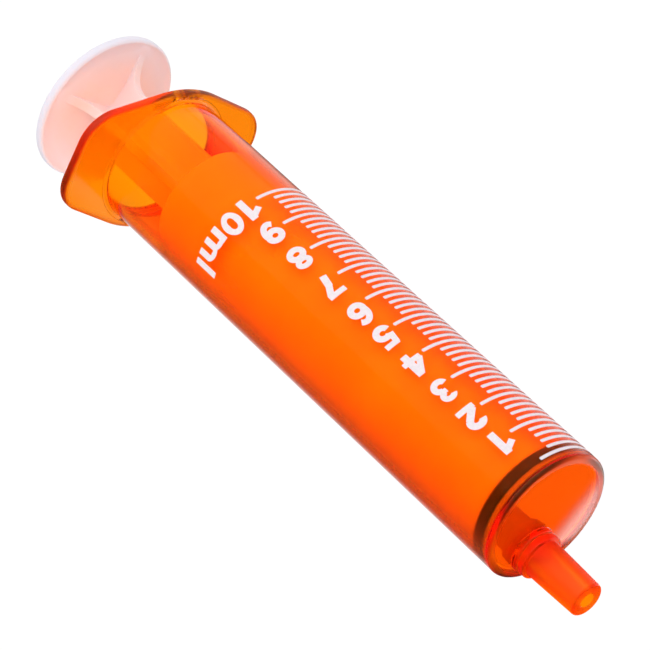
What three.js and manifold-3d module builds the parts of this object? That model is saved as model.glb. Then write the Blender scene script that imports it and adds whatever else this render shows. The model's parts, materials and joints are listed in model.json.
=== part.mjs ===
// A 10 mL oral syringe lying on its side: a barrel with a six-sided finger flange and an
// off-centre tip, a plunger rod, the piston head that closes the rod's hollow body, and the
// seal ring between them. Millimetres, +Z up, +X from the thumb rest towards the tip.
//
// Every piece is drawn in the syringe's own frame: X is the barrel's axis, with X = 0 at the
// barrel's end face and the tip at positive X. Y is the flange's long direction, and the tip
// sits below the axis, at negative Z. Two nested groups then lay the syringe down on one of
// the flange's sloping sides.
import * as THREE from "three";
import { mergeVertices } from "three/addons/utils/BufferGeometryUtils.js";
import Module from "manifold-3d";

const wasm = await Module();
wasm.setup();

// ---- Driving dimensions -------------------------------------------------------------
const SCALE_PITCH = 5.232; // barrel length that holds 1 mL
const SCALE_VOLUME = 1000; // 1 mL in cubic millimetres
const WALL = 0.95; // barrel wall
const END_WALL = 1.2; // wall behind the end face
const END_ROUND = 0.45; // rounding of the barrel's end edge
const BORE_R = Math.sqrt(SCALE_VOLUME / (Math.PI * SCALE_PITCH));
const BARREL_R = BORE_R + WALL;

const FLANGE_FRONT = 73.4; // distance from the end face to the flange's finger side
const FLANGE_T = 1.2;
const FLANGE_HALF_LENGTH = 14.9; // axis to a wing's flat end
const WING_HALF_WIDTH = 6.0; // half the flat end, before its corners are rounded
const FLANGE_PEAK = 10.74; // axis to the obtuse corner over and under the barrel
const WING_ROUND = 4.8;
const PEAK_ROUND = 15.6;
const FLANGE_FILLET = 0.5;
const MOUTH_CHAMFER = 0.5;

const TIP_OFFSET = 4.4; // tip's axis below the barrel's axis
const TIP_LENGTH = 9.7;
const TIP_ROUND = 0.35;
const TIP_R = 2.26; // cone at the small end
const CONE_R = 2.5; // cone at its root
const BASE_RING = { r: 3.05, end: 0.9, round: 0.25 };
const COLLAR = { r: 2.98, end: 1.9, round: 0.2 };
const CHANNEL_R = 0.95; // fluid channel at the tip's face
const CHANNEL_INNER_R = 1.25; // and at its root

const SEAL_GAP = 0.08; // running clearance of the seal ring in the bore
const SEAL_FROM = 2.1;
const SEAL_WIDTH = 1.35;
const SEAL_BULGE = 0.25; // how far the ring's face curves back at its edges
const FIT_GAP = 0.3; // between pieces that touch

const HEAD_FRONT = END_WALL + FIT_GAP;
const HEAD_CHAMFER = 0.2;
const SPIGOT_END = 11; // the head's plug ends here, inside the hollow body
const SPIGOT_LEAD = [0.6, 0.4]; // length and depth of the plug's lead-in
const HEAD_R = 7.5; // piston head's rim
const BODY_R = 7.05; // plunger's cylindrical body, which stands clear of the bore
const BODY_WALL = 0.85;
const HOLLOW_R = BODY_R - BODY_WALL; // inside the body, and inside the seal ring
const BODY_END = 64.5;
const BODY_END_WALL = 1.4;
const BODY_ROUND = 0.5;

const RIB_T = 1.2;
const RIB_HALF_WIDTH = 4.45;
const FLARE_FROM = 81; // ribs run straight from the body to here
const FLARE_R = 9.6; // where the flared ribs run into the thumb rest
const FLARE_HANDLE = 3.4; // pull of the flare's curve along the axis
const FLARE_PULL = 7.2; // and away from it
const FLARE_RUN_IN = 0.3; // how far inside the thumb rest the flare ends
const RIB_TURN = -13; // plunger's turn about its axis at rest, in degrees
const REST_R = 10.2; // thumb rest
const REST_FROM = 85.2;
const REST_T = 1.3;
const REST_ROUND = 0.45;
const DISH_R = 8.2; // shallow dish for the thumb
const DISH_FLOOR_R = 4.1;
const DISH_DEPTH = 0.5;
const CONE_RISE = 0.8; // underside swells towards the ribs

const AROUND = 80; // facets around the barrel and what slides in it
const TIP_AROUND = 48;
const DEG = Math.PI / 180;

// ---- Shape helpers ------------------------------------------------------------------

/** Points [x, r] on an arc about [cx, cr], from one angle to another in degrees. */
function arc(cx, cr, radius, from, to, steps = 5) {
  const points = [];
  for (let i = 0; i <= steps; i += 1) {
    const angle = (from + ((to - from) * i) / steps) * DEG;
    points.push([cx + radius * Math.cos(angle), cr + radius * Math.sin(angle)]);
  }
  return points;
}

/** A solid of revolution about X from a profile of [x, r], listed from low x to high x. */
function revolve(profile, around = AROUND) {
  const points = profile.map(([x, r]) => new THREE.Vector2(r, x));
  return new THREE.LatheGeometry(points, around).rotateZ(-Math.PI / 2);
}

/** A geometry as a manifold solid: only positions, with shared vertices merged. */
function solid(geometry) {
  geometry.deleteAttribute("normal");
  geometry.deleteAttribute("uv");
  const merged = mergeVertices(geometry, 1e-4);
  const vertProperties = new Float32Array(merged.attributes.position.array);
  const triVerts = new Uint32Array(merged.index.array);
  const mesh = new wasm.Mesh({ numProp: 3, vertProperties, triVerts });
  return new wasm.Manifold(mesh);
}

/** A manifold solid back as a geometry. */
function geometryOf(manifold) {
  const { vertProperties, triVerts, numProp } = manifold.getMesh();
  const positions = new Float32Array((vertProperties.length / numProp) * 3);
  for (let i = 0; i < positions.length / 3; i += 1) {
    positions.set(vertProperties.subarray(i * numProp, i * numProp + 3), i * 3);
  }
  const geometry = new THREE.BufferGeometry();
  geometry.setAttribute("position", new THREE.BufferAttribute(positions, 3));
  geometry.setIndex(new THREE.BufferAttribute(new Uint32Array(triVerts), 1));
  geometry.computeVertexNormals();
  return geometry;
}

function material(name, color, roughness) {
  return new THREE.MeshStandardMaterial({ name, color, roughness, metalness: 0 });
}

function piece(name, manifold, look) {
  const mesh = new THREE.Mesh(geometryOf(manifold), look);
  mesh.name = name;
  return mesh;
}

// ---- Barrel -------------------------------------------------------------------------

/** Closed outline through corners, each rounded by its own radius: [y, z, radius]. */
function roundedOutline(corners) {
  const shape = new THREE.Shape();
  const count = corners.length;
  corners.forEach(([y, z, radius], i) => {
    const [py, pz] = corners[(i + count - 1) % count];
    const [ny, nz] = corners[(i + 1) % count];
    const corner = new THREE.Vector2(y, z);
    const back = new THREE.Vector2(py, pz).sub(corner).normalize();
    const on = new THREE.Vector2(ny, nz).sub(corner).normalize();
    const half = Math.acos(back.dot(on)) / 2;
    const reach = radius / Math.tan(half);
    const first = corner.clone().addScaledVector(back, reach);
    const last = corner.clone().addScaledVector(on, reach);
    const centre = corner.clone().addScaledVector(back.add(on).normalize(), radius / Math.sin(half));
    if (i === 0) shape.moveTo(first.x, first.y);
    else shape.lineTo(first.x, first.y);
    const from = Math.atan2(first.y - centre.y, first.x - centre.x);
    const to = Math.atan2(last.y - centre.y, last.x - centre.x);
    shape.absarc(centre.x, centre.y, radius, from, to, false);
  });
  shape.closePath();
  return shape;
}

function flange() {
  const wing = [FLANGE_HALF_LENGTH, WING_HALF_WIDTH];
  const outline = roundedOutline([
    [wing[0], -wing[1], WING_ROUND],
    [wing[0], wing[1], WING_ROUND],
    [0, FLANGE_PEAK, PEAK_ROUND],
    [-wing[0], wing[1], WING_ROUND],
    [-wing[0], -wing[1], WING_ROUND],
    [0, -FLANGE_PEAK, PEAK_ROUND],
  ]);
  const plate = new THREE.ExtrudeGeometry(outline, {
    depth: FLANGE_T,
    bevelEnabled: false,
    curveSegments: 8,
  });
  const yAxis = new THREE.Vector3(0, 1, 0);
  const zAxis = new THREE.Vector3(0, 0, 1);
  const xAxis = new THREE.Vector3(1, 0, 0);
  plate.applyMatrix4(new THREE.Matrix4().makeBasis(yAxis, zAxis, xAxis));
  return solid(plate.translate(-FLANGE_FRONT - FLANGE_T, 0, 0));
}

function tip() {
  const start = -END_WALL / 2;
  const profile = [
    [start, 0],
    [start, BASE_RING.r],
    ...arc(BASE_RING.end - BASE_RING.round, BASE_RING.r - BASE_RING.round, BASE_RING.round, 90, 20, 3),
    [BASE_RING.end, COLLAR.r],
    ...arc(COLLAR.end - COLLAR.round, COLLAR.r - COLLAR.round, COLLAR.round, 90, 0, 3),
    [COLLAR.end, CONE_R],
    ...arc(TIP_LENGTH - TIP_ROUND, TIP_R - TIP_ROUND, TIP_ROUND, 90, 0, 4),
    [TIP_LENGTH, 0],
  ];
  return solid(revolve(profile, TIP_AROUND).translate(0, 0, -TIP_OFFSET));
}

function channel() {
  const over = 0.5;
  const profile = [
    [-END_WALL - over, 0],
    [-END_WALL - over, CHANNEL_INNER_R],
    [0, CHANNEL_INNER_R],
    [TIP_LENGTH + over, CHANNEL_R],
    [TIP_LENGTH + over, 0],
  ];
  return solid(revolve(profile, TIP_AROUND).translate(0, 0, -TIP_OFFSET));
}

function barrel() {
  const back = -FLANGE_FRONT - FLANGE_T;
  const filletX = -FLANGE_FRONT + FLANGE_FILLET;
  const outside = solid(
    revolve([
      [back, 0],
      [back, BARREL_R + FLANGE_FILLET],
      ...arc(filletX, BARREL_R + FLANGE_FILLET, FLANGE_FILLET, 180, 270, 4),
      ...arc(-END_ROUND, BARREL_R - END_ROUND, END_ROUND, 90, 0, 4),
      [0, 0],
    ]),
  );
  const over = 1;
  const inside = solid(
    revolve([
      [back - over, 0],
      [back - over, BORE_R + MOUTH_CHAMFER + over],
      [back + MOUTH_CHAMFER, BORE_R],
      [-END_WALL, BORE_R],
      [-END_WALL, 0],
    ]),
  );
  const shell = outside.add(flange()).subtract(inside);
  return shell.add(tip()).subtract(channel());
}

// ---- Plunger and seal ---------------------------------------------------------------

/** One straight plate that makes two opposite ribs, flared where it meets the thumb rest. */
function ribPair(turn) {
  const handle = -FLARE_FROM - FLARE_HANDLE;
  const flare = new THREE.CubicBezierCurve(
    new THREE.Vector2(-FLARE_FROM, RIB_HALF_WIDTH),
    new THREE.Vector2(handle, RIB_HALF_WIDTH),
    new THREE.Vector2(handle, FLARE_PULL),
    new THREE.Vector2(-REST_FROM - FLARE_RUN_IN, FLARE_R),
  );
  const edge = [
    new THREE.Vector2(-BODY_END + BODY_ROUND, RIB_HALF_WIDTH),
    ...flare.getPoints(10),
    new THREE.Vector2(-REST_FROM - REST_T / 2, FLARE_R),
  ];
  const otherEdge = edge.map((point) => new THREE.Vector2(point.x, -point.y)).reverse();
  const plate = new THREE.ExtrudeGeometry(new THREE.Shape([...edge, ...otherEdge]), {
    depth: RIB_T,
    bevelEnabled: false,
  });
  return solid(plate.translate(0, 0, -RIB_T / 2).rotateX(turn * DEG));
}

function plungerRod() {
  const front = -SEAL_FROM - SEAL_WIDTH - FIT_GAP;
  const back = -BODY_END;
  const body = solid(
    revolve([
      [back, 0],
      ...arc(back + BODY_ROUND, BODY_R - BODY_ROUND, BODY_ROUND, 180, 90, 4),
      [front, BODY_R],
      [front, HOLLOW_R],
      [back + BODY_END_WALL, HOLLOW_R],
      [back + BODY_END_WALL, 0],
    ]),
  );
  const under = -REST_FROM;
  const over = -REST_FROM - REST_T;
  const rest = solid(
    revolve([
      [over + DISH_DEPTH, 0],
      [over + DISH_DEPTH, DISH_FLOOR_R],
      [over, DISH_R],
      ...arc(over + REST_ROUND, REST_R - REST_ROUND, REST_ROUND, 180, 90, 3),
      ...arc(under - REST_ROUND, REST_R - REST_ROUND, REST_ROUND, 90, 0, 3),
      [under + CONE_RISE, RIB_HALF_WIDTH],
      [under + CONE_RISE, 0],
    ]),
  );
  return body.add(ribPair(RIB_TURN)).add(ribPair(RIB_TURN + 90)).add(rest);
}

function pistonHead() {
  const spigotR = HOLLOW_R - FIT_GAP;
  const rimBack = -SEAL_FROM + FIT_GAP / 2;
  const [leadLength, leadDepth] = SPIGOT_LEAD;
  return solid(
    revolve([
      [-SPIGOT_END, 0],
      [-SPIGOT_END, spigotR - leadDepth],
      [-SPIGOT_END + leadLength, spigotR],
      [rimBack, spigotR],
      [rimBack, HEAD_R],
      [-HEAD_FRONT - HEAD_CHAMFER, HEAD_R],
      [-HEAD_FRONT, HEAD_R - HEAD_CHAMFER],
      [-HEAD_FRONT, 0],
    ]),
  );
}

function sealRing() {
  const outer = BORE_R - SEAL_GAP;
  const from = -SEAL_FROM - SEAL_WIDTH;
  return solid(
    revolve([
      [from, HOLLOW_R],
      [from, outer - SEAL_BULGE],
      [from + SEAL_BULGE, outer],
      [-SEAL_FROM - SEAL_BULGE, outer],
      [-SEAL_FROM, outer - SEAL_BULGE],
      [-SEAL_FROM, HOLLOW_R],
      [from, HOLLOW_R],
    ]),
  );
}

// ---- Assembly -----------------------------------------------------------------------

const amber = material("amber_plastic", 0xf26a0c, 0.25);
const natural = material("natural_plastic", 0xf1ebe8, 0.4);
const naturalHead = material("natural_plastic_head", 0xe6ddd6, 0.4);
const black = material("black_seal", 0x14110f, 0.5);

const syringe = new THREE.Group();
syringe.add(piece("barrel", barrel(), amber));
syringe.add(piece("plunger_rod", plungerRod(), natural));
syringe.add(piece("piston_head", pistonHead(), naturalHead));
syringe.add(piece("seal_ring", sealRing(), black));

// The flange's sloping side turns level about the barrel's axis, and the nose drops until
// the barrel's end meets the same surface.
const slope = Math.atan2(FLANGE_PEAK - WING_HALF_WIDTH, FLANGE_HALF_LENGTH);
const sideReach = FLANGE_PEAK * Math.cos(slope);
const noseDrop = Math.atan2(sideReach - BARREL_R, FLANGE_FRONT - END_ROUND);
syringe.rotation.x = -slope;

const laid = new THREE.Group();
laid.add(syringe);
laid.rotation.y = noseDrop;

const oralSyringe = new THREE.Group();
oralSyringe.add(laid);
oralSyringe.updateMatrixWorld(true);
const box = new THREE.Box3().setFromObject(oralSyringe, true);
laid.position.set(-(box.min.x + box.max.x) / 2, -(box.min.y + box.max.y) / 2, -box.min.z);

export default oralSyringe;
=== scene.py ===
import json
import math

import bmesh
import bpy
import numpy as np
from mathutils import Matrix, Vector

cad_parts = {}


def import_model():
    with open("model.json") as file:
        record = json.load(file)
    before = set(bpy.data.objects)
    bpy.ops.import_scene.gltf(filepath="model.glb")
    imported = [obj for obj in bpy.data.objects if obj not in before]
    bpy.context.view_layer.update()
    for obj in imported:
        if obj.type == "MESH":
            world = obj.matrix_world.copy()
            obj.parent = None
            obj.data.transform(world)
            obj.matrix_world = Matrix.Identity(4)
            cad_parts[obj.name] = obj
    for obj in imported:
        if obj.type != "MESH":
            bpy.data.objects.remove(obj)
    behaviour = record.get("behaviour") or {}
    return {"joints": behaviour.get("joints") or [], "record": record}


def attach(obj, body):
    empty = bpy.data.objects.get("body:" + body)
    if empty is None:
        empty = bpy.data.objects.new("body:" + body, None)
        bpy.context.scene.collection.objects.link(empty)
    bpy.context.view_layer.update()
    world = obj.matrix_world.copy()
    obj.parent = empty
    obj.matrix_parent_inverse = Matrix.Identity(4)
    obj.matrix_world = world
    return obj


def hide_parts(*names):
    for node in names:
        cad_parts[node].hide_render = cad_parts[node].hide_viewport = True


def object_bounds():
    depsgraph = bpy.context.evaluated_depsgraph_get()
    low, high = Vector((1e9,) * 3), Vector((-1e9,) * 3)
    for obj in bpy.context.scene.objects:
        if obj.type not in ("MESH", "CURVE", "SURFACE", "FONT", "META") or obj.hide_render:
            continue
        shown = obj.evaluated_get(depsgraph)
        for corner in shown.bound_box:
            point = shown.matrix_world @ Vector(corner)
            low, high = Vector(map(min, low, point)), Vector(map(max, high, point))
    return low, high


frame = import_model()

CAD_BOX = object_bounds()
MM = 0.001

# ---- Sizes that the frame's solids were made with ------------------------------------
SCALE_PITCH = 5.232
SCALE_VOLUME = 1000
WALL = 0.95
END_WALL = 1.2
END_ROUND = 0.45
END_CORNER = 0.3  # rounding between the bore and the end wall
BORE_R = math.sqrt(SCALE_VOLUME / (math.pi * SCALE_PITCH))
BARREL_R = BORE_R + WALL

FLANGE_FRONT = 73.4
FLANGE_T = 1.2
FLANGE_HALF_LENGTH = 14.9
WING_HALF_WIDTH = 6.0
FLANGE_PEAK = 10.74
WING_ROUND = 4.8
PEAK_ROUND = 15.6
FLANGE_FILLET = 0.5
FLANGE_EDGE = 0.32
MOUTH_CHAMFER = 0.5

TIP_OFFSET = 4.4
TIP_LENGTH = 9.7
TIP_ROUND = 0.35
TIP_R = 2.26
CONE_R = 2.5
BASE_RING_R = 3.05
BASE_RING_END = 0.9
COLLAR_R = 2.98
COLLAR_END = 1.9
CREASE_R = 2.78
CHANNEL_R = 0.95
CHANNEL_INNER_R = 1.25
CHANNEL_FLAT = 0.4  # flat ring around the channel's inner mouth

SEAL_GAP = 0.08
SEAL_FROM = 2.1
SEAL_WIDTH = 1.35
FIT_GAP = 0.3

HEAD_R = 7.5
BODY_R = 7.05
BODY_WALL = 0.85
HOLLOW_R = BODY_R - BODY_WALL
BODY_END = 64.5
BODY_END_WALL = 1.4
BODY_ROUND = 0.5
SPIGOT_END = 11
SPIGOT_CHAMFER = (0.6, 0.4)  # along the axis and across it

RIB_T = 1.2
RIB_SHARPNESS = 9.0  # how tightly a rib's edges are rounded, per millimetre
RIB_CORE_R = 1.25
RIB_HALF_WIDTH = 4.45
FLARE_FROM = 81
FLARE_R = 9.6
FLARE_HANDLE = 3.4
FLARE_PULL = 7.2
FLARE_RUN_IN = 0.3
RIB_TURN = -13
REST_R = 10.2
REST_FROM = 85.2
REST_T = 1.3
REST_ROUND = 0.45
DISH_R = 8.2
DISH_FLOOR_R = 4.1
DISH_DEPTH = 0.5
CONE_RISE = 0.8
PALE_FROM = 6.0  # radius from which the thumb rest is painted paler, as painted light
PALE_AT = 9.4  # radius where the painted paleness is strongest

# ---- Printed scale ---------------------------------------------------------------------
ZERO_MARK = 1.762  # distance from the barrel's end face
MARKS_PER_ML = 5
VOLUME_ML = 10
MARK_WIDTH = 0.46
LONG_MARK_FROM = -31.0  # degrees around the barrel
SHORT_MARK_FROM = -18.6
MARKS_TO = 40.0
INK_T = 0.03
FIGURE_HEIGHT = 3.55


# ---- The syringe's frame, from the record ----------------------------------------------
def mount_point(name):
    return Vector(next(m for m in frame["record"]["mounts"] if m["name"] == name)["pos_m"])


def joint(name):
    return next(j for j in frame["joints"] if j["name"] == name)


def syringe_matrix():
    """From the syringe's own frame, in metres, to the row frame."""
    x_axis = -Vector(joint("plunger_slide")["axis"]).normalized()
    across = mount_point("finger_face_left") - mount_point("finger_face_right")
    z_axis = x_axis.cross(across).normalized()
    y_axis = z_axis.cross(x_axis)
    turn = Matrix((x_axis, y_axis, z_axis)).transposed().to_4x4()
    return Matrix.Translation(joint("plunger_spin")["pos_m"]) @ turn


SYRINGE = syringe_matrix()


# ---- Mesh helpers ----------------------------------------------------------------------
def piece(name, mesh, body, slot, material, *nodes):
    obj = bpy.data.objects.new(name, mesh)
    bpy.context.scene.collection.objects.link(obj)
    mesh.materials.append(material)
    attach(obj, body)
    if nodes:
        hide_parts(*nodes)
    return obj


def mesh_from(name, bm):
    """A smooth-shaded mesh in the row frame from a bmesh in the syringe's, in millimetres."""
    bmesh.ops.recalc_face_normals(bm, faces=bm.faces)
    for face in bm.faces:
        face.smooth = True
    bmesh.ops.transform(bm, matrix=SYRINGE @ Matrix.Scale(MM, 4), verts=bm.verts)
    mesh = bpy.data.meshes.new(name)
    bm.to_mesh(mesh)
    bm.free()
    return mesh


def loft(name, rings, closed=False, start=None, end=None, satin_and_painted_pale=None):
    """Quads between rings of points, closed on themselves or on an end point each.

    The last argument gives the value of an attribute at each point of a ring: how satin the barrel's
    surface is, and how much paler the thumb rest is painted (painted light).
    """
    bm = bmesh.new()
    layer = bm.verts.layers.float.new("satin_and_painted_pale") if satin_and_painted_pale else None
    rows = [[bm.verts.new(p) for p in ring] for ring in rings]
    if satin_and_painted_pale:
        for row, ring in zip(rows, rings):
            for vert, value in zip(row, satin_and_painted_pale(ring)):
                vert[layer] = value
    count = len(rows[0])
    pairs = list(zip(rows, rows[1:]))
    if closed:
        pairs.append((rows[-1], rows[0]))
    for low, high in pairs:
        for k in range(count):
            after = (k + 1) % count
            bm.faces.new((low[k], low[after], high[after], high[k]))
    for point, row in ((start, rows[0]), (end, rows[-1])):
        if point is not None:
            pole = bm.verts.new(point)
            for k in range(count):
                bm.faces.new((row[k], row[(k + 1) % count], pole))
    return mesh_from(name, bm)


SUPPORT = 0.05  # extra ring this far beside each rounding, so that flats shade flat


def rounded(corners, steps=6):
    """A profile [x, r] through corners [x, r, rounding], each rounding drawn as an arc."""
    points = [Vector(corners[0][:2])]
    for before, corner, after in zip(corners, corners[1:], corners[2:]):
        here = Vector(corner[:2])
        radius = corner[2]
        if radius == 0:
            points.append(here)
            continue
        back = (Vector(before[:2]) - here).normalized()
        on = (Vector(after[:2]) - here).normalized()
        half = back.angle(on) / 2
        reach = radius / math.tan(half)
        centre = here + (back + on).normalized() * radius / math.sin(half)
        first = here + back * reach - centre
        sweep = math.pi - 2 * half
        if first.x * back.y - first.y * back.x > 0:
            sweep = -sweep
        points.append(centre + first + back * SUPPORT)
        for k in range(steps + 1):
            turned = first.copy()
            turned.rotate(Matrix.Rotation(sweep * k / steps, 2))
            points.append(centre + turned)
        points.append(points[-1] + on * SUPPORT)
    points.append(Vector(corners[-1][:2]))
    return [(p.x, p.y) for p in points]


def around(angles, x, radius, centre_z=0.0):
    """One ring of points: radius may be a number or one number for each angle."""
    y = radius * np.sin(angles)
    z = radius * np.cos(angles) + centre_z
    return np.stack([np.broadcast_to(x, y.shape), y, z], 1)


# ---- Barrel ----------------------------------------------------------------------------
def flange_outline(angles):
    """Distance from the axis to the flange's outline in each direction."""
    corners = [
        (FLANGE_HALF_LENGTH, -WING_HALF_WIDTH, WING_ROUND),
        (FLANGE_HALF_LENGTH, WING_HALF_WIDTH, WING_ROUND),
        (0, FLANGE_PEAK, PEAK_ROUND),
        (-FLANGE_HALF_LENGTH, WING_HALF_WIDTH, WING_ROUND),
        (-FLANGE_HALF_LENGTH, -WING_HALF_WIDTH, WING_ROUND),
        (0, -FLANGE_PEAK, PEAK_ROUND),
    ]
    outline = rounded([corners[-1]] + corners + [corners[0]], steps=24)[1:-1]
    points = np.array(outline)
    bearing = np.arctan2(points[:, 0], points[:, 1])
    order = np.argsort(bearing)
    bearing, points = bearing[order], points[order]
    start, stop = points, np.roll(points, -1, axis=0)
    edge = stop - start
    result = []
    for a in angles:
        wrapped = math.atan2(math.sin(a), math.cos(a))
        k = (np.searchsorted(bearing, wrapped) - 1) % len(points)
        ray = np.array([math.sin(a), math.cos(a)])
        cross = ray[0] * edge[k, 1] - ray[1] * edge[k, 0]
        result.append((start[k, 0] * edge[k, 1] - start[k, 1] * edge[k, 0]) / cross)
    return np.array(result)


FROSTED_RIM = 0.8  # width of the satin band around the flange's edge
FROSTED_BORE_END = -62
END_FROST = 0.7  # how satin the end's edge is, from 0 to 1
BORE_FROST = 0.4


def barrel_mesh():
    angles = np.linspace(0, 2 * math.pi, 360, endpoint=False)
    outline = flange_outline(angles)
    front = -FLANGE_FRONT
    back = front - FLANGE_T
    rings = [around(angles, back, BORE_R + MOUTH_CHAMFER)]

    def flange_ring(x, inset, blend=1.0, circle=BARREL_R + FLANGE_FILLET):
        rings.append(around(angles, x, (1 - blend) * circle + blend * (outline - inset)))

    for blend in (0.35, 0.7):
        flange_ring(back, FROSTED_RIM + SUPPORT, blend)
    flange_ring(back, FROSTED_RIM + SUPPORT)
    flange_ring(back, FLANGE_EDGE + SUPPORT)
    for k in range(6):
        a = math.pi / 2 * k / 5
        flange_ring(back + FLANGE_EDGE * (1 - math.cos(a)), FLANGE_EDGE * (1 - math.sin(a)))
    for k in range(6):
        a = math.pi / 2 * k / 5
        flange_ring(front - FLANGE_EDGE * (1 - math.sin(a)), FLANGE_EDGE * (1 - math.cos(a)))
    flange_ring(front, FLANGE_EDGE + SUPPORT)
    flange_ring(front, FROSTED_RIM + SUPPORT)
    for blend in (0.7, 0.35):
        flange_ring(front, FROSTED_RIM + SUPPORT, blend)
    rings.append(around(angles, front, BARREL_R + FLANGE_FILLET + 2 * SUPPORT))

    tube = rounded([
        (front, BARREL_R + FLANGE_FILLET + SUPPORT, 0),
        (front, BARREL_R, FLANGE_FILLET),
        (0, BARREL_R, END_ROUND),
        (0, BARREL_R - 2 * END_ROUND, 0),
    ])
    rings += [around(angles, x, r) for x, r in tube]
    tip_root = BASE_RING_R + 0.2
    face_r = BARREL_R - 2 * END_ROUND
    for share in (0.04, 0.25, 0.5, 0.75):
        rings.append(around(angles, 0, face_r + (tip_root - face_r) * share, -TIP_OFFSET * share))
    tip = rounded([
        (0, tip_root, 0),
        (0, BASE_RING_R, 0.1),
        (BASE_RING_END, BASE_RING_R, 0.3),
        (BASE_RING_END, CREASE_R, 0.05),
        (BASE_RING_END + 0.1, COLLAR_R, 0.06),
        (COLLAR_END, COLLAR_R, 0.25),
        (COLLAR_END, CONE_R, 0.15),
        (TIP_LENGTH, TIP_R, TIP_ROUND),
        (TIP_LENGTH, CHANNEL_R, 0.12),
        (-END_WALL, CHANNEL_INNER_R, 0.15),
        (-END_WALL, CHANNEL_INNER_R + CHANNEL_FLAT, 0),
    ])
    rings += [around(angles, x, r, -TIP_OFFSET) for x, r in tip]
    inner_r = CHANNEL_INNER_R + CHANNEL_FLAT
    bore_edge = BORE_R - 2 * END_CORNER
    for share in (0.25, 0.5, 0.75):
        radius = inner_r + (bore_edge - inner_r) * share
        rings.append(around(angles, -END_WALL, radius, -TIP_OFFSET * (1 - share)))
    bore = rounded([
        (-END_WALL, bore_edge, 0),
        (-END_WALL, BORE_R, END_CORNER),
        (FROSTED_BORE_END, BORE_R, 0),
        (FROSTED_BORE_END - 2, BORE_R, 0),
        (back + MOUTH_CHAMFER, BORE_R, 0.3),
        (back, BORE_R + MOUTH_CHAMFER, 0),
    ])
    rings += [around(angles, x, r) for x, r in bore[:-1]]

    def satin_and_painted_pale(ring):
        """Where the mould leaves a satin surface: fully on the tip and the rim, less elsewhere."""
        x, y, z = ring.T
        radius = np.hypot(y, z)
        on_tip = x > 0.5
        on_end = (radius > face_r - 0.01) & (x > -END_ROUND)
        in_corner = (radius > bore_edge) & (radius < BORE_R + 0.01) & (abs(x + END_WALL) < 0.4)
        on_rim = (x < front + 0.01) & (radius > outline - FROSTED_RIM)
        in_bore = (radius < BORE_R + 0.01) & (x < -END_WALL - 0.2) & (x > FROSTED_BORE_END - 0.1)
        on_back = x < back + 0.01
        satin_and_painted_pale = np.where(in_bore | on_back, BORE_FROST, 0.0)
        satin_and_painted_pale = np.where(on_tip | in_corner | on_rim, 1.0, satin_and_painted_pale)
        return np.where(on_end, END_FROST, satin_and_painted_pale)

    return loft("amber_barrel", rings, closed=True, satin_and_painted_pale=satin_and_painted_pale)


# ---- Plunger, head and seal ------------------------------------------------------------
def lathe(name, corners, steps=6, segments=256, closed=False):
    """A turned solid from a profile that starts and ends on the axis, or closes on itself."""
    angles = np.linspace(0, 2 * math.pi, segments, endpoint=False)
    profile = rounded(corners, steps)
    if closed:
        return loft(name, [around(angles, x, r) for x, r in profile[:-1]], closed=True)
    rings = [around(angles, x, r) for x, r in profile[1:-1]]
    return loft(name, rings, start=(profile[0][0], 0, 0), end=(profile[-1][0], 0, 0))


def flare_curve():
    """The rib's half-width along the axis from where it starts to flare: (distances, widths)."""
    t = np.linspace(0, 1, 40)
    weights = np.stack([(1 - t) ** 3, 3 * t * (1 - t) ** 2, 3 * t * t * (1 - t), t ** 3])
    handle = FLARE_FROM + FLARE_HANDLE
    along = np.array([FLARE_FROM, handle, handle, REST_FROM + FLARE_RUN_IN])
    width = np.array([RIB_HALF_WIDTH, RIB_HALF_WIDTH, FLARE_PULL, FLARE_R])
    return along @ weights, width @ weights


def neck_radius(distance, angle, flare):
    """Distance from the axis to the cross-ribbed neck's surface, `angle` from a rib's middle."""
    half_width = np.interp(distance, *flare)
    end = half_width / math.cos(angle)
    side = RIB_T / 2 / max(math.sin(abs(angle)), 1e-6)
    lowest = min(end, side)
    excess = math.exp(-RIB_SHARPNESS * (end - lowest)) + math.exp(-RIB_SHARPNESS * (side - lowest))
    inside = lowest - math.log(excess) / RIB_SHARPNESS
    return (max(inside, 0) ** 6 + RIB_CORE_R ** 6) ** (1 / 6)


def rest_underside(radius):
    """Distance along the axis to the thumb rest's underside at a radius."""
    low, high = REST_FROM - CONE_RISE, REST_FROM
    return float(np.interp(radius, [RIB_HALF_WIDTH, REST_R - REST_ROUND], [low, high]))


def eased(before, corner, after, reach, steps=4):
    """Points on a small curve that replaces a corner between two directions."""
    before, corner, after = (Vector(p) for p in (before, corner, after))
    first = corner + (before - corner).normalized() * min(reach, (before - corner).length * 0.8)
    last = corner + (after - corner).normalized() * min(reach, (after - corner).length * 0.8)
    points = []
    for k in range(steps + 1):
        t = k / steps
        points.append(first * (1 - t) ** 2 + corner * 2 * t * (1 - t) + last * t * t)
    return [(p.x, p.y) for p in points]


def rod_column(angle, flare):
    """The rod's outline (distance along the axis, radius) from the body's end to the rest's rim."""
    neck_start = BODY_END + 0.35
    straight = [(s, neck_radius(s, angle, flare)) for s in np.linspace(neck_start, FLARE_FROM, 6)]
    reach = np.linspace(FLARE_FROM, REST_FROM + FLARE_RUN_IN, 160)
    meets = next((s for s in reach if s >= rest_underside(neck_radius(s, angle, flare))), reach[-1])
    flared = [(s, neck_radius(s, angle, flare)) for s in np.linspace(FLARE_FROM, meets, 16)[1:]]
    corner_r = flared[-1][1]
    rim = REST_R - REST_ROUND
    under_r = np.linspace(corner_r, rim, 7)[1:]
    under = [(rest_underside(r), r) for r in under_r]
    end_face_r = np.linspace(BODY_R - BODY_ROUND - SUPPORT, straight[0][1] + 0.35, 5)
    end_face = [(BODY_END, r) for r in end_face_r]
    foot = eased(end_face[-1], (BODY_END, straight[0][1]), straight[0], 0.3)
    junction = eased(flared[-2], flared[-1], under[0], 0.35)
    return end_face + foot + straight + flared[:-1] + junction + under


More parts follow.
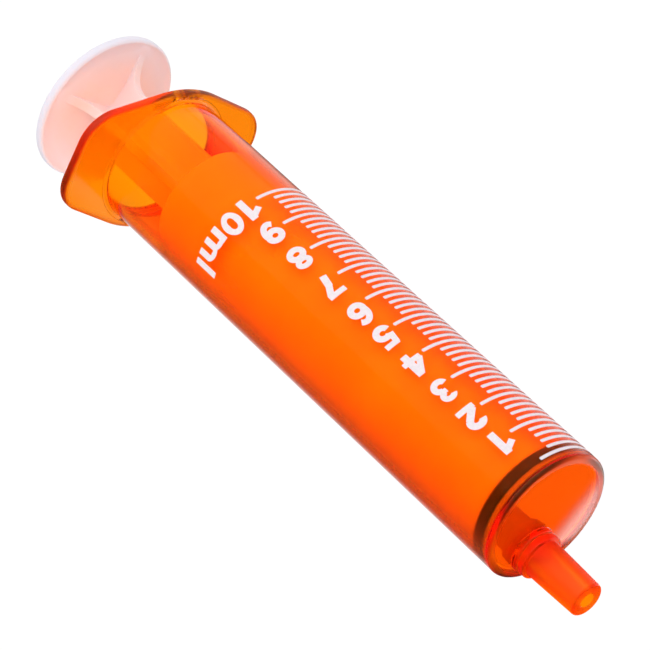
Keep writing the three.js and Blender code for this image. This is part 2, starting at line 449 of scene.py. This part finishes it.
def rod_mesh():
    """The hollow body, the ribbed neck and the thumb rest as one skin."""
    close = np.linspace(0, 10, 33)
    wide = np.linspace(10, 45, 13)[1:]
    one_side = np.concatenate([close, wide])
    quarter = np.concatenate([-one_side[:0:-1], one_side[:-1]])
    flare = flare_curve()
    half = {round(a, 6): rod_column(math.radians(a), flare) for a in one_side}
    turns = []
    columns = []
    for k in range(4):
        for a in quarter:
            turns.append(math.radians(90 - RIB_TURN + 90 * k + a))
            columns.append(half[round(abs(a), 6)])
    angles = np.array(turns)
    grid = np.array(columns)  # column, row, (distance, radius)
    inside = rounded([
        (-BODY_END + BODY_END_WALL, 0, 0),
        (-BODY_END + BODY_END_WALL, HOLLOW_R, 0.5),
        (-SEAL_FROM - SEAL_WIDTH - FIT_GAP, HOLLOW_R, 0.15),
        (-SEAL_FROM - SEAL_WIDTH - FIT_GAP, BODY_R, 0.2),
        (-BODY_END, BODY_R, BODY_ROUND),
        (-BODY_END, BODY_R - 2 * BODY_ROUND, 0),
    ])
    rings = [around(angles, x, r) for x, r in inside[1:-2]]
    for row in range(grid.shape[1]):
        distance, radius = grid[:, row, 0], grid[:, row, 1]
        y = radius * np.sin(angles)
        z = radius * np.cos(angles)
        rings.append(np.stack([-distance, y, z], 1))
    over = -REST_FROM - REST_T
    outside = rounded([
        (-REST_FROM + 0.1, REST_R - REST_ROUND - 0.4, 0),
        (-REST_FROM, REST_R, REST_ROUND),
        (over, REST_R, REST_ROUND),
        (over, DISH_R, 0.6),
        (over + DISH_DEPTH, DISH_FLOOR_R, 1.5),
        (over + DISH_DEPTH, 0, 0),
    ])
    rings += [around(angles, x, r) for x, r in outside[2:-1]]

    def satin_and_painted_pale(ring):
        """From 0 to 1 towards the thumb rest's thin edge, where the colour is painted paler: painted
        light, as the edge looks brighter and less pink.
        """
        x, y, z = ring.T
        radius = np.hypot(y, z)
        painted_paleness = np.clip((radius - PALE_FROM) / (PALE_AT - PALE_FROM), 0, 1)
        return np.where(x < -REST_FROM + 0.5, painted_paleness, 0.0)

    hollow_end = (-BODY_END + BODY_END_WALL, 0, 0)
    dish_middle = (over + DISH_DEPTH, 0, 0)
    return loft("natural_rod", rings, start=hollow_end, end=dish_middle, satin_and_painted_pale=satin_and_painted_pale)


def head_mesh():
    front = -END_WALL - FIT_GAP
    plug_r = HOLLOW_R - FIT_GAP
    rim_back = -SEAL_FROM + FIT_GAP / 2
    return lathe("natural_head", [
        (-SPIGOT_END, 0, 0),
        (-SPIGOT_END, plug_r - SPIGOT_CHAMFER[1], 0.2),
        (-SPIGOT_END + SPIGOT_CHAMFER[0], plug_r, 0.3),
        (rim_back, plug_r, 0.06),
        (rim_back, HEAD_R, 0.12),
        (front, HEAD_R, 0.2),
        (front, 0, 0),
    ])


def seal_mesh():
    outer = BORE_R - SEAL_GAP
    back = -SEAL_FROM - SEAL_WIDTH
    middle_x = (-SEAL_FROM + back) / 2
    return lathe("rubber_seal", [
        (middle_x, HOLLOW_R, 0),
        (back, HOLLOW_R, 0.1),
        (back, outer, 0.28),
        (-SEAL_FROM, outer, 0.28),
        (-SEAL_FROM, HOLLOW_R, 0.1),
        (middle_x, HOLLOW_R, 0),
    ], closed=True)


# ---- Printed scale ---------------------------------------------------------------------
def on_barrel(station, angle, height):
    """A point on the barrel's surface: distance from the end face, angle in radians, height."""
    r = BARREL_R + height
    return (-station, r * math.sin(angle), r * math.cos(angle))


def inked(bm, faces):
    """Gives flat ink its thickness. Faces hold points (station, arc length from the top)."""
    copy = bmesh.ops.extrude_face_region(bm, geom=faces)
    raised = {v for v in copy["geom"] if isinstance(v, bmesh.types.BMVert)}
    for vert in bm.verts:
        station, arc, _ = vert.co
        height = INK_T if vert in raised else -INK_T / 3
        vert.co = on_barrel(station, arc / BARREL_R, height)


def add_mark(bm, station, start, stop):
    """One mark around the barrel, with its corners drawn in a little."""
    half = MARK_WIDTH / 2
    length = BARREL_R * math.radians(stop - start)
    first = BARREL_R * math.radians(start)
    ends = (0, 0.06, 0.16)
    middle = list(np.linspace(0.4, length - 0.4, 40))
    steps = list(ends) + middle + [length - e for e in reversed(ends)]
    taper = {0: 0.55, 0.06: 0.85}
    rows = []
    for along in steps:
        share = taper.get(along, taper.get(round(length - along, 6), 1.0))
        rows.append([bm.verts.new((station + side * half * share, first + along, 0)) for side in (-1, 1)])
    return [bm.faces.new((a[0], a[1], b[1], b[0])) for a, b in zip(rows, rows[1:])]


def scale_mesh():
    bm = bmesh.new()
    faces = []
    for mark in range(VOLUME_ML * MARKS_PER_ML + 1):
        start = LONG_MARK_FROM if mark % MARKS_PER_ML == 0 else SHORT_MARK_FROM
        faces += add_mark(bm, ZERO_MARK + SCALE_PITCH / MARKS_PER_ML * mark, start, MARKS_TO)
    inked(bm, faces)
    return mesh_from("printed_marks", bm)


class Pen:
    """A figure's shape as a field over a grid: negative inside. Units are millimetres, y up."""

    def __init__(self, width, height, pitch=0.07):
        margin = 0.3
        xs = np.arange(-margin, width + margin, pitch)
        ys = np.arange(-margin, height + margin, pitch)
        self.x, self.y = np.meshgrid(xs, ys)
        self.field = np.full(self.x.shape, 9.0)

    def ink(self, shape):
        self.field = np.minimum(self.field, shape)

    def line(self, x0, y0, x1, y1, half):
        """A straight stroke with square ends."""
        length = math.hypot(x1 - x0, y1 - y0)
        ux, uy = (x1 - x0) / length, (y1 - y0) / length
        along = (self.x - x0) * ux + (self.y - y0) * uy
        aside = np.abs((self.y - y0) * ux - (self.x - x0) * uy) - half
        self.ink(np.maximum(aside, np.abs(along - length / 2) - length / 2))

    def bow(self, cx, cy, rx, ry, half, start=0, stop=360):
        """A stroke along part of an ellipse, from one angle to another, counterclockwise."""
        dx, dy = (self.x - cx) / rx, (self.y - cy) / ry
        reach = np.hypot(dx, dy)
        mean = np.hypot(dx * rx, dy * ry) / np.maximum(reach, 1e-6)
        stroke = np.abs(reach - 1) * mean - half
        if stop - start < 360:
            middle = math.radians((start + stop) / 2)
            opening = math.radians(stop - start) / 2
            bearing = np.arctan2(dy, dx)
            off = np.abs(np.arctan2(np.sin(bearing - middle), np.cos(bearing - middle)))
            stroke = np.maximum(stroke, (off - opening) * mean)
        self.ink(stroke)

    def faces(self, bm, place):
        """Faces for the inside of the field. place(x, y) gives (station, arc)."""
        verts = {}

        def vert(key, x, y):
            if key not in verts:
                station, arc = place(x, y)
                verts[key] = bm.verts.new((station, arc, 0))
            return verts[key]

        made = []
        rows, cols = self.field.shape
        for i in range(rows - 1):
            for j in range(cols - 1):
                cell = [(i, j), (i, j + 1), (i + 1, j + 1), (i + 1, j)]
                if min(self.field[c] for c in cell) >= 0:
                    continue
                loop = []
                for a, b in zip(cell, cell[1:] + cell[:1]):
                    va, vb = self.field[a], self.field[b]
                    if va < 0:
                        loop.append(vert(a, self.x[a], self.y[a]))
                    if (va < 0) != (vb < 0):
                        t = va / (va - vb)
                        x = self.x[a] + (self.x[b] - self.x[a]) * t
                        y = self.y[a] + (self.y[b] - self.y[a]) * t
                        loop.append(vert(frozenset((a, b)), x, y))
                if len(loop) >= 3:
                    made.append(bm.faces.new(loop))
        return made


def figure(symbol):
    """The pen's drawing of one printed figure."""
    h = FIGURE_HEIGHT
    heavy, light = 0.46, 0.38
    if symbol == "m":
        pen = Pen(4.1, h)
        low = 2.55
        for x in (0.42, 1.98, 3.54):
            pen.line(x, 0, x, low - (0 if x < 1 else 0.75), 0.42)
        for cx in (1.2, 2.76):
            pen.bow(cx, low - 0.82, 0.78, 0.42, 0.4, 0, 180)
        return pen
    if symbol == "l":
        pen = Pen(0.9, h)
        pen.line(0.42, 0, 0.42, h, 0.42)
        return pen
    pen = Pen(2.6, h)
    if symbol == "1":
        pen.line(1.4, 0, 1.4, h, heavy)
        pen.line(1.25, h - 0.5, 0.0, h - 1.25, 0.4)
    elif symbol == "2":
        pen.bow(1.27, 2.45, 0.8, 0.72, heavy, -35, 172)
        pen.line(1.92, 2.05, 0.45, 0.62, heavy)
        pen.line(0.06, 0.38, 2.52, 0.38, light)
    elif symbol == "3":
        pen.bow(1.22, 2.62, 0.66, 0.55, light, -80, 165)
        pen.bow(1.24, 1.1, 0.78, 0.7, light + 0.02, -165, 85)
        pen.line(0.95, 1.92, 1.4, 1.92, 0.33)
    elif symbol == "4":
        pen.line(1.62, 0, 1.62, h, heavy)
        pen.line(0.02, 1.15, 2.5, 1.15, 0.37)
        pen.line(1.45, 3.25, 0.2, 1.2, light)
    elif symbol == "5":
        pen.line(0.42, h - 0.38, 2.3, h - 0.38, light)
        pen.line(0.72, h - 0.3, 0.48, 1.65, light)
        pen.bow(1.22, 1.2, 0.82, 0.78, 0.42, -165, 138)
    elif symbol == "6":
        pen.bow(1.28, 1.18, 0.8, 0.76, 0.42)
        pen.bow(1.36, 1.85, 0.9, 1.32, 0.42, 48, 215)
    elif symbol == "7":
        pen.line(0.08, h - 0.38, 2.48, h - 0.38, light)
        pen.line(2.12, h - 0.55, 1.3, 1.5, 0.42)
        pen.line(1.38, 1.75, 1.02, 0, 0.45)
    elif symbol == "8":
        pen.bow(1.27, 2.62, 0.72, 0.55, 0.38)
        pen.bow(1.27, 1.1, 0.84, 0.7, 0.41)
    elif symbol == "9":
        pen.bow(1.27, h - 1.18, 0.8, 0.76, 0.42)
        pen.bow(1.19, h - 1.85, 0.9, 1.32, 0.42, 228, 395)
    elif symbol == "0":
        pen.bow(1.27, h / 2, 0.84, 1.38, 0.42)
    return pen


FIGURE_STATIONS = {
    "1": 6.53, "2": 11.4, "3": 16.6, "4": 21.8, "5": 27.2, "6": 31.85, "7": 37.5, "8": 43.3, "9": 48.6,
}  # distance of each figure's middle from the barrel's end face
FIGURES_FROM = -34.6  # degrees; figures read towards smaller angles
LABEL_STATION = 53.4
LABEL = (("1", FIGURES_FROM), ("0", -51.0), ("m", -70.0), ("l", -99.5))


def figures_mesh():
    bm = bmesh.new()
    faces = []

    def add(symbol, station, start):
        def place(x, y):
            return station + FIGURE_HEIGHT / 2 - y, BARREL_R * math.radians(start) - x

        faces.extend(figure(symbol).faces(bm, place))

    for symbol, station in FIGURE_STATIONS.items():
        add(symbol, station, FIGURES_FROM)
    for symbol, start in LABEL:
        add(symbol, LABEL_STATION, start)
    inked(bm, faces)
    return mesh_from("printed_figures", bm)


# ---- Materials -------------------------------------------------------------------------
FROST_ROUGHNESS = 0.4
# Painted light: the paler colour painted on the thumb rest's thin edge.
PAINTED_PALE_EDGE = (0.85, 0.81, 0.9)
REST_PAINTED_TINT_FADE = (-41, -35)  # along the row's X, in millimetres, where the thumb rest's painted tint fades: painted light, a pinker, darker colour for the amber-tinted light on the rest


class Look:
    """A node material built one node at a time."""

    def __init__(self, name):
        self.material = bpy.data.materials.new(name)
        self.material.use_nodes = True
        self.nodes = self.material.node_tree.nodes
        self.links = self.material.node_tree.links
        self.nodes.clear()
        self.output = self.nodes.new("ShaderNodeOutputMaterial")
        self.shader = self.nodes.new("ShaderNodeBsdfPrincipled")
        self.links.new(self.shader.outputs[0], self.output.inputs["Surface"])
        self.where = self.nodes.new("ShaderNodeTexCoord").outputs["Object"]

    def set(self, **values):
        for name, value in values.items():
            self.shader.inputs[name.replace("_", " ")].default_value = value

    def noise(self, per_mm, detail=3.0, stretch=None):
        """Noise with this many features a millimetre; stretch draws it out along the axis."""
        node = self.nodes.new("ShaderNodeTexNoise")
        node.inputs["Scale"].default_value = per_mm / MM
        node.inputs["Detail"].default_value = detail
        where = self.where
        if stretch:
            mapping = self.nodes.new("ShaderNodeMapping")
            mapping.inputs["Scale"].default_value = (1 / stretch, 1, 1)
            self.links.new(where, mapping.inputs["Vector"])
            where = mapping.outputs[0]
        self.links.new(where, node.inputs["Vector"])
        return node.outputs["Fac"]

    def ramp(self, value, low, high, from_low=0.3, from_high=0.7):
        """A number or a colour that runs from low to high as the value does."""
        node = self.nodes.new("ShaderNodeValToRGB")
        for element, place, colour in zip(node.color_ramp.elements, (from_low, from_high), (low, high)):
            element.position = place
            element.color = (*colour, 1) if isinstance(colour, tuple) else (colour, colour, colour, 1)
        self.links.new(value, node.inputs[0])
        return node.outputs[0]

    def mix(self, factor, low, high):
        """From low to high as the factor goes from 0 to 1; each is a socket or an RGBA value."""
        node = self.nodes.new("ShaderNodeMix")
        node.data_type = "RGBA"
        self.links.new(factor, node.inputs["Factor"])
        for socket, value in (("A", low), ("B", high)):
            if isinstance(value, tuple):
                node.inputs[socket].default_value = value
            else:
                self.links.new(value, node.inputs[socket])
        return node.outputs["Result"]

    def satin_and_painted_pale(self):
        """The mesh's attribute: a satin finish on the barrel, and the painted paleness (painted light) of
        the thumb rest's edge.
        """
        node = self.nodes.new("ShaderNodeAttribute")
        node.attribute_name = "satin_and_painted_pale"
        return node.outputs["Fac"]

    def feed(self, socket, output):
        self.links.new(output, self.shader.inputs[socket])

    def bump(self, heights, distance):
        """Bump from several (height, strength) pairs, chained."""
        normal = None
        for height, strength in heights:
            node = self.nodes.new("ShaderNodeBump")
            node.inputs["Strength"].default_value = strength
            node.inputs["Distance"].default_value = distance * MM
            self.links.new(height, node.inputs["Height"])
            if normal:
                self.links.new(normal, node.inputs["Normal"])
            normal = node.outputs[0]
        self.feed("Normal", normal)


def amber_plastic():
    look = Look("amber_plastic")
    look.set(Transmission_Weight=0.99, IOR=1.42)
    look.shader.inputs["Specular Tint"].default_value = (0.55, 0.28, 0.12, 1)
    look.feed("Base Color", look.ramp(look.noise(0.12, 2), (1.0, 0.45, 0.005), (1.0, 0.5, 0.01)))
    polish = look.nodes.new("ShaderNodeMath")
    polish.operation = "MULTIPLY_ADD"
    look.links.new(look.satin_and_painted_pale(), polish.inputs[0])
    polish.inputs[1].default_value = FROST_ROUGHNESS
    look.links.new(look.ramp(look.noise(0.5, 4, stretch=6), 0.04, 0.09), polish.inputs[2])
    look.feed("Roughness", polish.outputs[0])
    look.bump([(look.noise(0.25, 2, stretch=8), 0.02), (look.noise(4, 3), 0.01)], 0.05)
    absorption = look.nodes.new("ShaderNodeVolumeAbsorption")
    absorption.inputs["Color"].default_value = (0.999, 0.68, 0.0, 1)
    absorption.inputs["Density"].default_value = 1350
    look.links.new(absorption.outputs[0], look.output.inputs["Volume"])
    return look.material


def natural_plastic(name, body, rest_painted_tint):
    """Milky plastic: `body` inside the barrel, fading in the open to a pinker, darker tint for the thumb
    rest. That tint is painted light: it stands in for the amber-tinted light that falls on the thumb
    rest.
    """
    look = Look(name)
    look.set(Subsurface_Weight=0.3, Subsurface_Scale=0.0015, IOR=1.49)
    look.shader.inputs["Subsurface Radius"].default_value = (1.0, 0.8, 0.75)
    split = look.nodes.new("ShaderNodeSeparateXYZ")
    look.links.new(look.where, split.inputs[0])
    place = look.nodes.new("ShaderNodeMapRange")
    place.inputs["From Min"].default_value = REST_PAINTED_TINT_FADE[0] * MM
    place.inputs["From Max"].default_value = REST_PAINTED_TINT_FADE[1] * MM
    look.links.new(split.outputs["X"], place.inputs["Value"])
    mottled = [
        look.ramp(look.noise(0.3, 4), tuple(c * 0.96 for c in colour), colour)
        for colour in (rest_painted_tint, body)
    ]
    # Painted light: the same plastic gets a pinker, darker tint on the thumb rest in the open, for the
    # amber-tinted light that falls there.
    painted_tint = look.mix(place.outputs[0], *mottled)
    # Painted light: towards the thumb rest's thin edge the colour is painted paler.
    look.feed("Base Color", look.mix(look.satin_and_painted_pale(), painted_tint, (*PAINTED_PALE_EDGE, 1)))
    look.feed("Roughness", look.ramp(look.noise(1.2, 4), 0.28, 0.42))
    look.bump([(look.noise(0.4, 2), 0.04), (look.noise(8, 2), 0.03)], 0.05)
    return look.material


def black_rubber():
    look = Look("black_rubber")
    look.set(IOR=1.52, Specular_IOR_Level=0.15)
    look.feed("Base Color", look.ramp(look.noise(2, 4), (0.003, 0.002, 0.002), (0.008, 0.006, 0.006)))
    look.feed("Roughness", look.ramp(look.noise(3, 4), 0.3, 0.45))
    look.bump([(look.noise(6, 3), 0.1)], 0.03)
    return look.material


def white_ink():
    look = Look("white_ink")
    look.set(IOR=1.45)
    look.feed("Base Color", look.ramp(look.noise(3, 5), (0.85, 0.76, 0.8), (0.93, 0.84, 0.88)))
    look.feed("Roughness", look.ramp(look.noise(5, 3), 0.4, 0.55))
    look.bump([(look.noise(9, 3), 0.15)], 0.02)
    return look.material


# ---- Pieces ----------------------------------------------------------------------------
ink = white_ink()
piece("amber_barrel", barrel_mesh(), "barrel", "amber_barrel", amber_plastic(), "barrel")
piece("printed_marks", scale_mesh(), "barrel", "white_print", ink)
piece("printed_figures", figures_mesh(), "barrel", "white_print", ink)
# The second colour is painted light: a pinker, darker tint for the thumb rest, standing in for the
# amber-tinted light that falls on it.
natural = natural_plastic("natural_plastic", (0.9, 0.89, 0.88), (0.88, 0.79, 0.83))
# Painted shade: the head is the same milky plastic painted a dull grey-brown, for the shade it sits in
# beside the black seal inside the barrel.
head_painted_shade = (0.36, 0.34, 0.3)
natural_painted_shade = natural_plastic("natural_head", head_painted_shade, head_painted_shade)
piece("natural_rod", rod_mesh(), "plunger", "natural_rod", natural, "plunger_rod")
piece("natural_head", head_mesh(), "plunger", "natural_head", natural_painted_shade, "piston_head")
piece("rubber_seal", seal_mesh(), "seal", "black_seal", black_rubber(), "seal_ring")


# ---- Floor, lights and camera ----------------------------------------------------------
# Brightness of the room in mirror reflections, by the angle above the horizon from behind the
# syringe over the top.
WORLD_STOPS = ((0, 1.0), (33, 0.5), (34, 0.05), (36, 0.05), (37, 0.5), (146, 0.5), (150, 0.1), (180, 0.1))
OPEN_AMBIENT = 0.75  # on surfaces in the open
AMBER_AMBIENT = 2.6  # on rays that have come through the amber plastic
SOFT_BOX_DIRECTION = (-0.1, -0.45, 1.0)
SOFT_BOX_DISTANCE = 0.7
SOFT_BOX_SIZE = (1.2, 1.0)
OPEN_RADIANCE = 0.7  # the soft box, likewise in the open and through the amber plastic
AMBER_RADIANCE = 3.8
FLOOR_GLOW = 1.0
# The floor's glow in mirror reflections: near the syringe, right under it, behind it and beside
# its tip.
MIRRORED_NEAR = 0.08
MIRRORED_UNDER = 0.9
MIRRORED_FAR = 1.0
MIRRORED_AHEAD = 5.0
MIRRORED_PAINTED_AMBER_GLOW = (5.5, 0.8, 0.0)  # an amber glow painted under the tip that only mirror reflections see: a painted reflection in place of light that has passed through the plastic

# Where those parts of the floor start and end, in metres in the row frame. Each edge is soft, from
# one number to the other.
FAR_EDGE = (0.03, 0.08)
UNDER_FRONT = (-0.008, -0.004)
UNDER_BACK = (0.006, 0.003)
UNDER_TIP_END = (0.038, 0.036)
AHEAD_FROM = (0.040, 0.041)
SLANT_AT_0 = -0.0958  # Y at X = 0 of the slanting line between the white and the amber part
SLANT_RISE = 2.4  # its slope
SLANT_EDGE = (0.0, 0.004)
AMBER_FROM = (0.039, 0.041)
AMBER_TO = (0.060, 0.055)
AMBER_FRONT = (-0.012, -0.006)
FLOOR_HALF_SIZE = 3.0
FLOOR_GAP = 0.0001  # between the floor and the lowest point of the syringe


def floor():
    bm = bmesh.new()
    bmesh.ops.create_grid(bm, x_segments=8, y_segments=8, size=FLOOR_HALF_SIZE)
    mesh = bpy.data.meshes.new("floor")
    bm.to_mesh(mesh)
    bm.free()
    obj = bpy.data.objects.new("floor", mesh)
    bpy.context.scene.collection.objects.link(obj)
    look = Look("floor")
    look.set(Roughness=0.9, Specular_IOR_Level=0.0, Emission_Strength=1.0)
    split = look.nodes.new("ShaderNodeSeparateXYZ")
    look.links.new(look.where, split.inputs[0])

    def step(value, low, high, bottom=0.0, top=1.0):
        """From bottom to top as the value goes from low to high."""
        node = look.nodes.new("ShaderNodeMapRange")
        for socket, number in zip(("From Min", "From Max", "To Min", "To Max"), (low, high, bottom, top)):
            node.inputs[socket].default_value = number
        look.links.new(value, node.inputs["Value"])
        return node.outputs[0]

    def both(kind, a, b):
        node = look.nodes.new("ShaderNodeMath")
        node.operation = kind
        look.links.new(a, node.inputs[0])
        look.links.new(b, node.inputs[1])
        return node.outputs[0]

    x, y = split.outputs["X"], split.outputs["Y"]
    far = step(y, *FAR_EDGE, MIRRORED_NEAR, MIRRORED_FAR)
    under = both("MULTIPLY", step(y, *UNDER_FRONT), step(y, *UNDER_BACK))
    under = both("MULTIPLY", under, step(x, *UNDER_TIP_END, 0.0, MIRRORED_UNDER))
    slant = both("SUBTRACT", y, step(x, 0.0, 1.0, SLANT_AT_0, SLANT_AT_0 + SLANT_RISE))
    ahead = both("MULTIPLY", step(x, *AHEAD_FROM), step(slant, *SLANT_EDGE, 0.0, MIRRORED_AHEAD))
    beside = both("MULTIPLY", step(x, *AMBER_FROM), step(x, *AMBER_TO))
    amber_side = both("MULTIPLY", step(slant, *reversed(SLANT_EDGE)), step(y, *AMBER_FRONT))
    beside = both("MULTIPLY", beside, amber_side)
    white = both("MAXIMUM", both("MAXIMUM", far, under), ahead)
    ray = look.nodes.new("ShaderNodeLightPath").outputs
    mirrored = both("MULTIPLY", ray["Is Glossy Ray"], ray["Is Reflection Ray"])
    # Painted reflection: an amber glow beside the tip that only mirror rays see, in place of light that
    # has passed through the plastic.
    amber = look.mix(beside, white, (*MIRRORED_PAINTED_AMBER_GLOW, 1))
    look.feed("Emission Color", look.mix(mirrored, (FLOOR_GLOW, FLOOR_GLOW, FLOOR_GLOW, 1), amber))
    look.feed("Base Color", look.ramp(look.noise(0.004, 2), (0.03, 0.03, 0.03), (0.04, 0.04, 0.04)))
    mesh.materials.append(look.material)
    obj.location.z = CAD_BOX[0].z - FLOOR_GAP


def soft_box(name, radiance, through_amber):
    """The panel over the syringe, lighting it either through the amber plastic or in the open."""
    light = bpy.data.lights.new(name, "AREA")
    light.shape = "RECTANGLE"
    light.size, light.size_y = SOFT_BOX_SIZE
    light.energy = radiance * math.pi * light.size * light.size_y
    obj = bpy.data.objects.new(name, light)
    bpy.context.scene.collection.objects.link(obj)
    away = Vector(SOFT_BOX_DIRECTION).normalized()
    obj.location = away * SOFT_BOX_DISTANCE
    obj.rotation_euler = away.to_track_quat("Z", "Y").to_euler()
    obj.visible_camera = False
    obj.visible_glossy = False
    obj.visible_diffuse = not through_amber
    obj.visible_transmission = through_amber


def world():
    """A pale room. Mirror reflections see it bright behind, softer above and dim low in front."""
    shade = bpy.data.worlds.new("studio")
    shade.use_nodes = True
    tree = shade.node_tree
    background = tree.nodes["Background"]
    background.inputs["Strength"].default_value = 1.0

    def math_node(kind, a, b=None):
        node = tree.nodes.new("ShaderNodeMath")
        node.operation = kind
        for socket, value in zip(node.inputs, (a, b)):
            if isinstance(value, (int, float)):
                socket.default_value = value
            elif value is not None:
                tree.links.new(value, socket)
        return node.outputs[0]

    split = tree.nodes.new("ShaderNodeSeparateXYZ")
    tree.links.new(tree.nodes.new("ShaderNodeTexCoord").outputs["Generated"], split.inputs[0])
    turn = math_node("ARCTAN2", split.outputs["Z"], split.outputs["Y"])
    share = math_node("DIVIDE", turn, math.pi)
    ramp = tree.nodes.new("ShaderNodeValToRGB")
    while len(ramp.color_ramp.elements) < len(WORLD_STOPS):
        ramp.color_ramp.elements.new(0.5)
    for element, (degrees, level) in zip(ramp.color_ramp.elements, WORLD_STOPS):
        element.position = degrees / 180
        element.color = (level, level, level, 1)
    tree.links.new(share, ramp.inputs[0])
    ray = tree.nodes.new("ShaderNodeLightPath").outputs
    mirrored = math_node("MULTIPLY", ray["Is Glossy Ray"], ray["Is Reflection Ray"])
    seen = (OPEN_AMBIENT, OPEN_AMBIENT, OPEN_AMBIENT, 1)
    levels = (
        (ray["Is Transmission Ray"], (AMBER_AMBIENT, AMBER_AMBIENT, AMBER_AMBIENT, 1)),
        (mirrored, ramp.outputs[0]),
        (ray["Is Camera Ray"], (1, 1, 1, 1)),
    )
    for factor, colour in levels:
        mix = tree.nodes.new("ShaderNodeMix")
        mix.data_type = "RGBA"
        tree.links.new(factor, mix.inputs["Factor"])
        for socket, value in (("A", seen), ("B", colour)):
            if isinstance(value, tuple):
                mix.inputs[socket].default_value = value
            else:
                tree.links.new(value, mix.inputs[socket])
        seen = mix.outputs["Result"]
    tree.links.new(seen, background.inputs["Color"])
    bpy.context.scene.world = shade


CAMERA_ANGLES = (43.714, 37.917, -11.597)  # azimuth, elevation and roll in degrees
CAMERA_DISTANCE = 0.44945
CAMERA_TARGET = (-0.00063, -0.00139, 0.00927)
CAMERA_LENS = 208.87
CAMERA_SENSOR = 36


def camera():
    azimuth, elevation, roll = (math.radians(a) for a in CAMERA_ANGLES)
    flat = math.cos(elevation)
    back = Vector((math.sin(azimuth) * flat, -math.cos(azimuth) * flat, math.sin(elevation)))
    level = Vector((math.cos(azimuth), math.sin(azimuth), 0))
    upright = back.cross(level)
    right = level * math.cos(roll) - upright * math.sin(roll)
    up = upright * math.cos(roll) + level * math.sin(roll)
    data = bpy.data.cameras.new("camera")
    data.sensor_width = CAMERA_SENSOR
    data.lens = CAMERA_LENS
    data.clip_start, data.clip_end = 0.01, 20
    obj = bpy.data.objects.new("camera", data)
    bpy.context.scene.collection.objects.link(obj)
    turn = Matrix((right, up, back)).transposed().to_4x4()
    obj.matrix_world = Matrix.Translation(Vector(CAMERA_TARGET) + back * CAMERA_DISTANCE) @ turn
    bpy.context.scene.camera = obj


floor()
soft_box("overhead", OPEN_RADIANCE, False)
soft_box("overhead_amber", AMBER_RADIANCE, True)
world()
camera()
scene = bpy.context.scene
scene.view_settings.view_transform = "Standard"
scene.cycles.max_bounces = 24
scene.cycles.transmission_bounces = 24
scene.cycles.diffuse_bounces = 8
scene.cycles.sample_clamp_indirect = 0
scene.cycles.blur_glossy = 0
